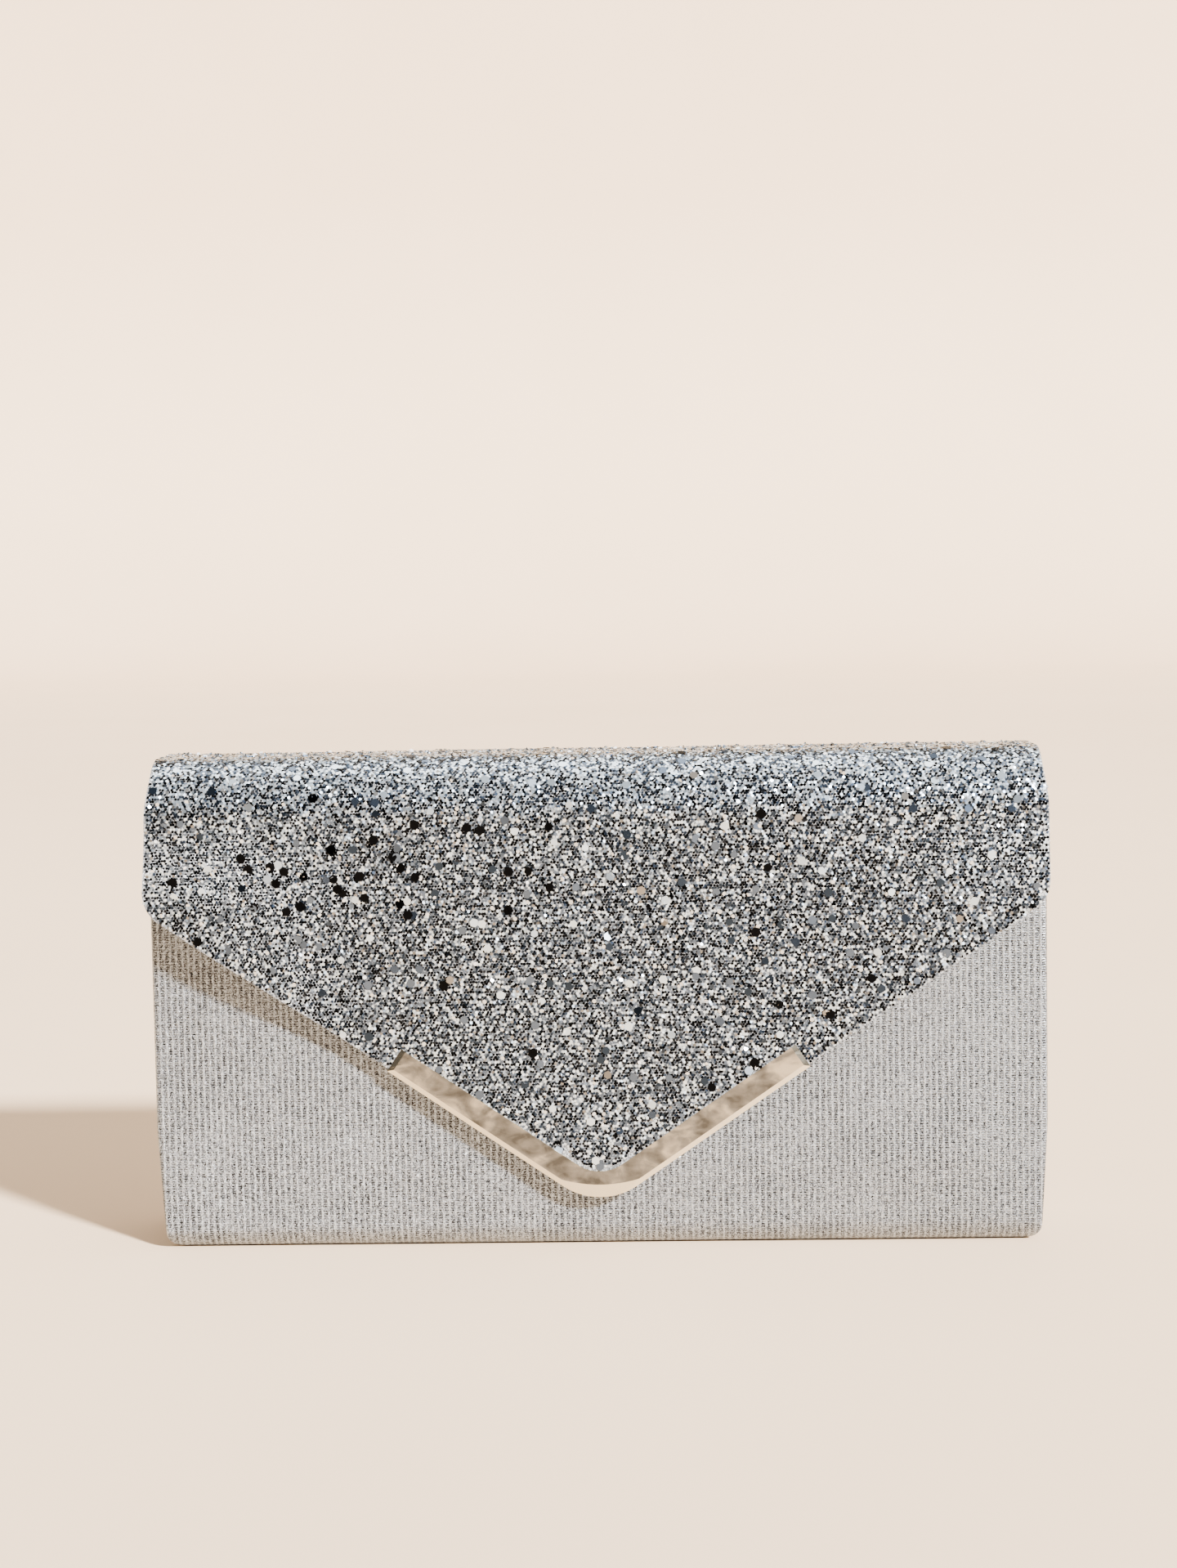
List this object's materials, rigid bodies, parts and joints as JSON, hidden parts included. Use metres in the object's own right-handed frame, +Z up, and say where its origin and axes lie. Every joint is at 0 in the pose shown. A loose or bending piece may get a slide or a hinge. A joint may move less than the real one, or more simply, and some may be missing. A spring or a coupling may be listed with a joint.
{
  "type": "evening clutch bag",
  "caption": "Envelope clutch bag with a pointed flap on two creases, a mouth with folded ends that opens with it, a V-shaped metal trim, a magnetic snap and two chain rings.",
  "frame": {"origin": "middle of the bag's bounding box, on the surface that it stands on", "axes": "+X along the bag's width, front of the flap towards -Y, +Z up"},
  "size_m": [0.24, 0.05, 0.133],
  "materials": {
    "glitter_fabric": "silver hexagonal glitter flakes bonded on a woven backing",
    "lurex_fabric": "silver metallic-thread cloth with fine upright ribs",
    "lining_satin": "satin lining cloth",
    "board": "grey stiffening board",
    "interlining": "non-woven interlining",
    "trim_metal": "polished pale metal",
    "snap_metal": "nickel plate",
    "magnet": "plated magnet"
  },
  "bodies": {
    "carcass": {"bottom_cover": "lurex_fabric", "bottom_board": "board", "bottom_lining": "lining_satin", "back_cover": "lurex_fabric", "back_board": "board", "back_lining": "lining_satin", "flap_root_strip": "glitter_fabric", "slip_pocket": "lining_satin", "left_gusset_back": "lurex_fabric", "right_gusset_back": "lurex_fabric", "left_gusset_lining_back": "lining_satin", "right_gusset_lining_back": "lining_satin", "left_ring_tab": "lining_satin", "right_ring_tab": "lining_satin"},
    "front_panel": {"front_cover": "lurex_fabric", "front_board": "board", "front_lining": "lining_satin", "front_facing": "lurex_fabric", "left_gusset_front": "lurex_fabric", "right_gusset_front": "lurex_fabric", "left_gusset_lining_front": "lining_satin", "right_gusset_lining_front": "lining_satin", "snap_case": "snap_metal", "snap_magnet": "magnet", "snap_base": "snap_metal", "snap_base_washer": "snap_metal"},
    "flap_roll": {"flap_roll_skin": "glitter_fabric", "flap_roll_core": "interlining", "flap_roll_lining": "lining_satin"},
    "flap_front": {"flap_front_skin": "glitter_fabric", "flap_front_core": "board", "flap_front_lining": "lining_satin", "flap_trim": "trim_metal", "snap_stud": "snap_metal", "snap_stud_washer": "snap_metal"},
    "left_ring": {"left_chain_ring": "trim_metal"},
    "right_ring": {"right_chain_ring": "trim_metal"}
  },
  "joints": [
    {"name": "flap_lift", "type": "hinge", "parent": "carcass", "child": "flap_roll", "pos_m": [0, 0.025, 0.114], "axis": [-1, 0, 0], "range_deg": [0, 130]},
    {"name": "flap_fold", "type": "hinge", "parent": "flap_roll", "child": "flap_front", "pos_m": [0, -0.0244, 0.115], "axis": [-1, 0, 0], "range_deg": [0, 80]},
    {"name": "mouth_open", "type": "hinge", "parent": "carcass", "child": "front_panel", "pos_m": [0, -0.0184, 0.006], "axis": [1, 0, 0], "range_deg": [0, 7]},
    {"name": "left_ring_swing", "type": "hinge", "parent": "carcass", "child": "left_ring", "pos_m": [-0.096, 0.0192, 0.098], "axis": [-1, 0, 0], "range_deg": [0, 160]},
    {"name": "right_ring_swing", "type": "hinge", "parent": "carcass", "child": "right_ring", "pos_m": [0.096, 0.0192, 0.098], "axis": [-1, 0, 0], "range_deg": [0, 160]}
  ],
  "couplings": [
    {"joint": "mouth_open", "follows": "flap_lift", "ratio": 0.0538}
  ]
}
